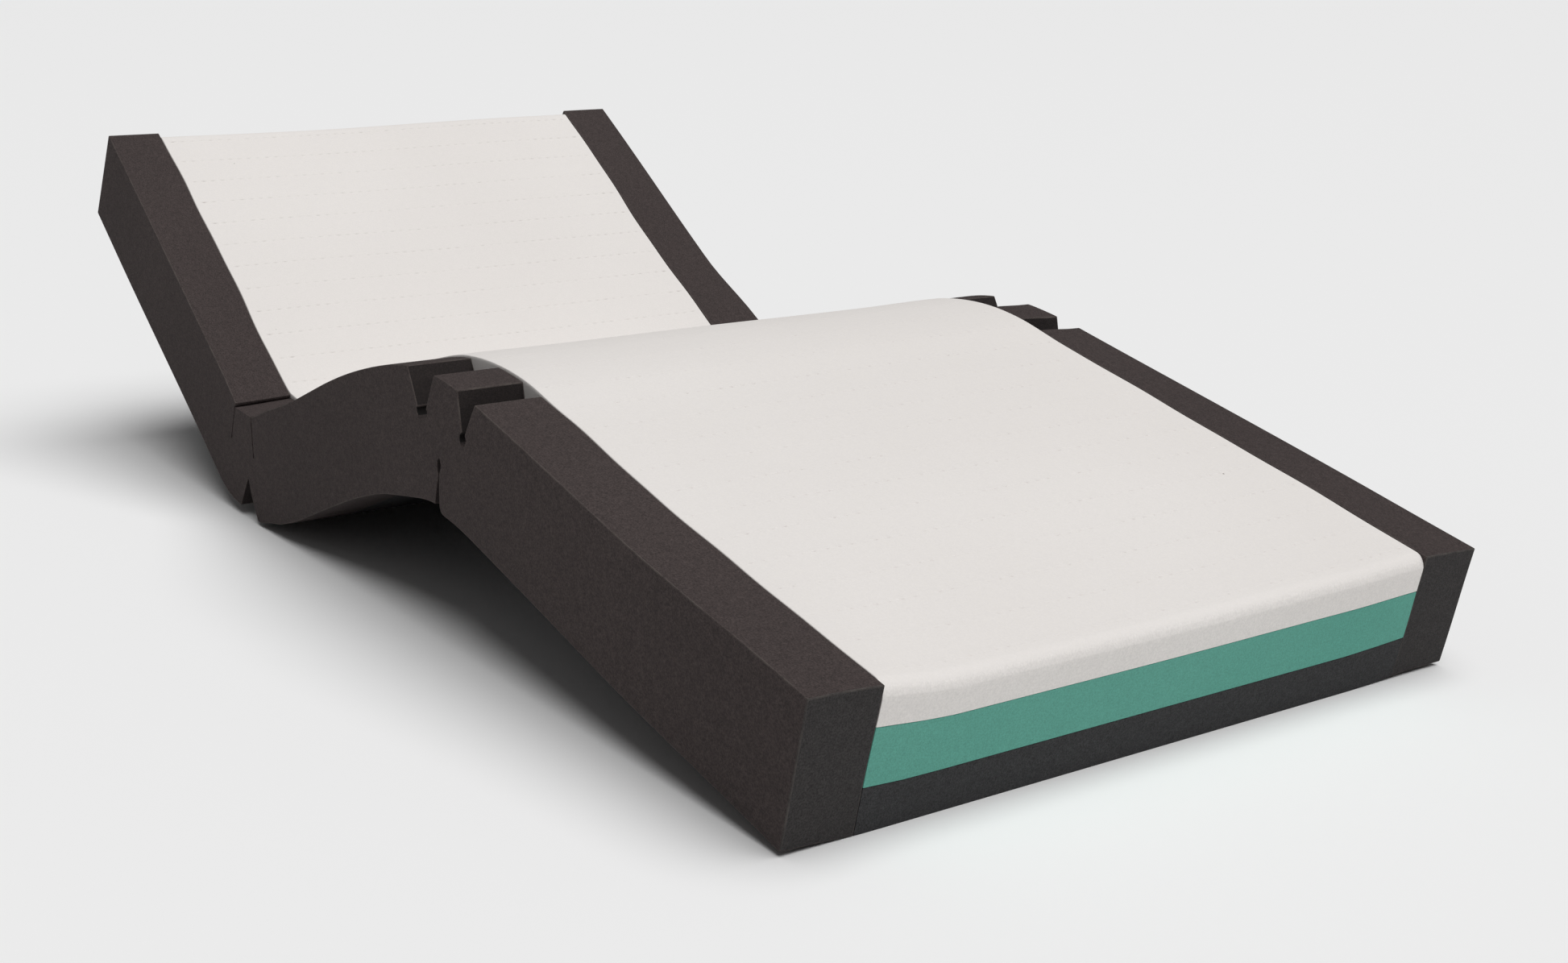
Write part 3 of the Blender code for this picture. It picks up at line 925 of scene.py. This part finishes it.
def foam(name, dark, light, highlight_colour, grain, depth, cell=900.0, top_share=1.0,
         cut_shade_colour=None, end_colour=None, specks=False):
    """Open-cell foam: slow colour drift, fine cells, a painted highlight along its cut edges and,
    where it has a cut shade colour, painted shade inside its cuts.

    grain is how far the cells vary in brightness, depth is their relief, cell is how many
    fit in a metre, and top_share is the share of the grain that the skin on top shows.
    """
    graph = Graph(name)
    place = graph.add("ShaderNodeTexCoord").outputs["Object"]
    slow = graph.ramp(graph.noise(place, 2.3, 3.0), *NOISE_SPAN)
    fine_noise = graph.noise(place, cell * 0.62, 2.0, 0.7)
    coarse = graph.noise(place, cell * 0.16, 2.0, 0.6)
    cells = graph.add("ShaderNodeTexVoronoi", in_Scale=cell)
    graph.link(place, cells.inputs["Vector"])
    colour = graph.mix(slow, dark, light)
    speckle = graph.ramp(fine_noise, 0.32, 0.68, 1 - grain, 1 + grain)
    drift = graph.ramp(coarse, *NOISE_SPAN, 1 - grain * 0.25, 1 + grain * 0.25)
    shade = graph.times(speckle, drift)
    grey = graph.add("ShaderNodeCombineColor")
    for socket in grey.inputs[:3]:
        graph.link(shade, socket)
    strength = 1.0
    if top_share < 1.0:
        raw = graph.add("ShaderNodeAttribute", attribute_name="raw").outputs["Fac"]
        strength = graph.ramp(raw, 0.0, 1.0, top_share, 1.0)
    colour = graph.mix(strength, colour, graph.mix(1.0, colour, grey.outputs[0], "MULTIPLY"))
    if end_colour:
        end = graph.add("ShaderNodeAttribute", attribute_name="raw").outputs["Fac"]
        end_shade = graph.mix(1.0, end_colour, grey.outputs[0], "MULTIPLY")
        colour = graph.mix(end, colour, end_shade)
    # Painted highlight along the rounded cut edges, broken up by noise
    edge_highlight = graph.add("ShaderNodeAttribute", attribute_name="edge_highlight").outputs["Fac"]
    broken_highlight = graph.ramp(graph.noise(place, 60.0, 2.0), 0.35, 0.62, 0.10, 0.45)
    colour = graph.mix(graph.times(edge_highlight, broken_highlight), colour, highlight_colour)
    # Painted shade inside the cuts
    if cut_shade_colour:
        cut = graph.add("ShaderNodeAttribute", attribute_name="cut").outputs["Fac"]
        colour = graph.mix(graph.ramp(cut, 0.05, 1.0), colour, cut_shade_colour)
    if specks:
        colour = add_specks(graph, place, colour)
    graph.link(colour, graph.shader.inputs["Base Color"])
    graph.link(graph.ramp(fine_noise, *NOISE_SPAN, 0.86, 0.97), graph.shader.inputs["Roughness"])
    fine = graph.add("ShaderNodeBump", in_Strength=depth, in_Distance=0.0012)
    graph.link(cells.outputs["Distance"], fine.inputs["Height"])
    broad = graph.add("ShaderNodeBump", in_Strength=depth * 0.8, in_Distance=0.0016)
    graph.link(coarse, broad.inputs["Height"])
    graph.link(fine.outputs["Normal"], broad.inputs["Normal"])
    graph.link(broad.outputs["Normal"], graph.shader.inputs["Normal"])
    graph.shader.inputs["Specular IOR Level"].default_value = 0.22
    return graph.material


def add_specks(graph, place, colour):
    """A few small dark specks of dust, each within one cell of a coarse grid."""
    spots = graph.add("ShaderNodeTexVoronoi", in_Scale=19.0)
    graph.link(place, spots.inputs["Vector"])
    parts = graph.add("ShaderNodeSeparateColor")
    graph.link(spots.outputs["Color"], parts.inputs[0])
    near = graph.ramp(spots.outputs["Distance"], 0.014, 0.026, 1.0, 0.0)
    chosen = graph.ramp(parts.outputs[0], 0.80, 0.805)
    return graph.mix(graph.times(near, chosen), colour, (0.250, 0.220, 0.190, 1))


def finishes():
    """The four foams, each with its darker and lighter body colour and the colour of its painted edge
    highlight; the rail and top foams also paint shade into their cuts.
    """
    return {
        "rail_foam": foam("rail_foam_look", (0.050, 0.0390, 0.0378, 1), (0.060, 0.0468, 0.0450, 1),
                          (0.120, 0.104, 0.094, 1), grain=0.42, depth=0.35,
                          cut_shade_colour=(0.006, 0.0052, 0.0050, 1),
                          end_colour=(0.041, 0.0378, 0.0375, 1)),
        "base_foam": foam("base_foam_look", (0.038, 0.0375, 0.039, 1), (0.045, 0.0445, 0.046, 1),
                          (0.100, 0.098, 0.094, 1), grain=0.42, depth=0.35),
        "middle_foam": foam("middle_foam_look", (0.110, 0.355, 0.285, 1), (0.140, 0.400, 0.325, 1),
                            (0.200, 0.480, 0.400, 1), grain=0.13, depth=0.20),
        "top_foam": foam("top_foam_look", (0.800, 0.765, 0.738, 1), (0.825, 0.792, 0.766, 1),
                         (0.850, 0.830, 0.810, 1), grain=0.060, depth=0.05, cell=700.0,
                         top_share=0.35, cut_shade_colour=(0.600, 0.560, 0.535, 1), specks=True),
    }


# ---------------------------------------------------------------- putting it together


def bend_over(obj, body, next_body, line, before, after):
    """Bakes obj's transform into its mesh; it does not bend obj, and body, next_body, line, before and
    after are not used.
    """
    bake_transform(obj)


def build_rails(material):
    outlines = rail_outlines()
    for side, label in ((-1, "rail_right"), (1, "rail_left")):
        for piece, outline in outlines.items():
            obj = make_rail(side, label, piece, outline, material)
            if piece in RAIL_BODIES:
                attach(obj, RAIL_BODIES[piece])
            else:
                bend_over(obj, *RAIL_BENDS[piece])
            for node in RAIL_NODES.get(piece, ()):
                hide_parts(f"{label}_{node}")


def build_core(looks):
    for layer in LAYERS:
        slot = f"{layer}_foam"
        for section, (_, _, body, next_body, line, before, after) in SECTIONS.items():
            obj = make_layer(layer, section, looks[slot])
            bend_over(obj, body, next_body, line, before, after)
            for node in SECTION_NODES[section]:
                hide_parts(f"{layer}_layer_{node}")


FLOOR_REACH = 400.0
FLOOR_BELOW = 0.0006


def build_stage():
    """Pale floor, far larger than the view."""
    mesh = bpy.data.meshes.new("studio_floor")
    signs = ((-1, -1), (1, -1), (1, 1), (-1, 1))
    corners = [(x * FLOOR_REACH, y * FLOOR_REACH, 0) for x, y in signs]
    mesh.from_pydata(corners, [], [(0, 1, 2, 3)])
    floor = bpy.data.objects.new("studio_floor", mesh)
    floor.location.z = -FLOOR_BELOW
    graph = Graph("studio_floor_paint")
    graph.shader.inputs["Base Color"].default_value = (0.95, 0.95, 0.95, 1)
    graph.shader.inputs["Roughness"].default_value = 0.95
    graph.shader.inputs["Specular IOR Level"].default_value = 0.1
    mesh.materials.append(graph.material)
    bpy.context.scene.collection.objects.link(floor)


def soft_sun(name, place, strength, spread):
    """Even light from the direction of place, spread over that many degrees of sky."""
    data = bpy.data.lights.new(name, "SUN")
    data.energy = strength
    data.angle = math.radians(spread)
    light = bpy.data.objects.new(name, data)
    light.rotation_euler = Vector(place).to_track_quat("Z", "Y").to_euler()
    bpy.context.scene.collection.objects.link(light)


SURROUND_LIGHT = 0.11
SURROUND_SEEN = 0.90
KEY_FROM = (0.33, 0.10, 0.94)
KEY_STRENGTH = 2.58
KEY_SPREAD = 60.0


def build_lights():
    """Soft light from above the foot end, and a pale surround that lights the core weakly."""
    world = bpy.data.worlds.new("studio")
    bpy.context.scene.world = world
    world.use_nodes = True
    tree = world.node_tree
    background = tree.nodes["Background"]
    background.inputs["Color"].default_value = (1.0, 1.0, 1.0, 1)
    seen = tree.nodes.new("ShaderNodeLightPath").outputs["Is Camera Ray"]
    strength = tree.nodes.new("ShaderNodeMapRange")
    strength.inputs["To Min"].default_value = SURROUND_LIGHT
    strength.inputs["To Max"].default_value = SURROUND_SEEN
    tree.links.new(seen, strength.inputs["Value"])
    tree.links.new(strength.outputs["Result"], background.inputs["Strength"])
    soft_sun("key_light", KEY_FROM, KEY_STRENGTH, KEY_SPREAD)


CAMERA_PLACE = (2.1989, -1.3688, 0.7554)
CAMERA_FORWARD = (-0.8215, 0.5271, -0.2176)
CAMERA_LENS = 45.81
CAMERA_SHIFT = (0.0683, -0.0524)


def build_camera():
    """Camera in front of the foot end's right corner, not rolled, looking down a little."""
    data = bpy.data.cameras.new("camera")
    data.sensor_width = 36.0
    data.lens = CAMERA_LENS
    data.shift_x, data.shift_y = CAMERA_SHIFT
    camera = bpy.data.objects.new("camera", data)
    camera.location = CAMERA_PLACE
    camera.rotation_euler = Vector(CAMERA_FORWARD).to_track_quat("-Z", "Y").to_euler()
    data.clip_start = 0.05
    data.clip_end = 200.0
    bpy.context.scene.collection.objects.link(camera)
    bpy.context.scene.camera = camera


def main():
    looks = finishes()
    build_rails(looks["rail_foam"])
    build_core(looks)
    build_stage()
    build_lights()
    build_camera()
    bpy.context.scene.view_settings.view_transform = "Standard"


main()
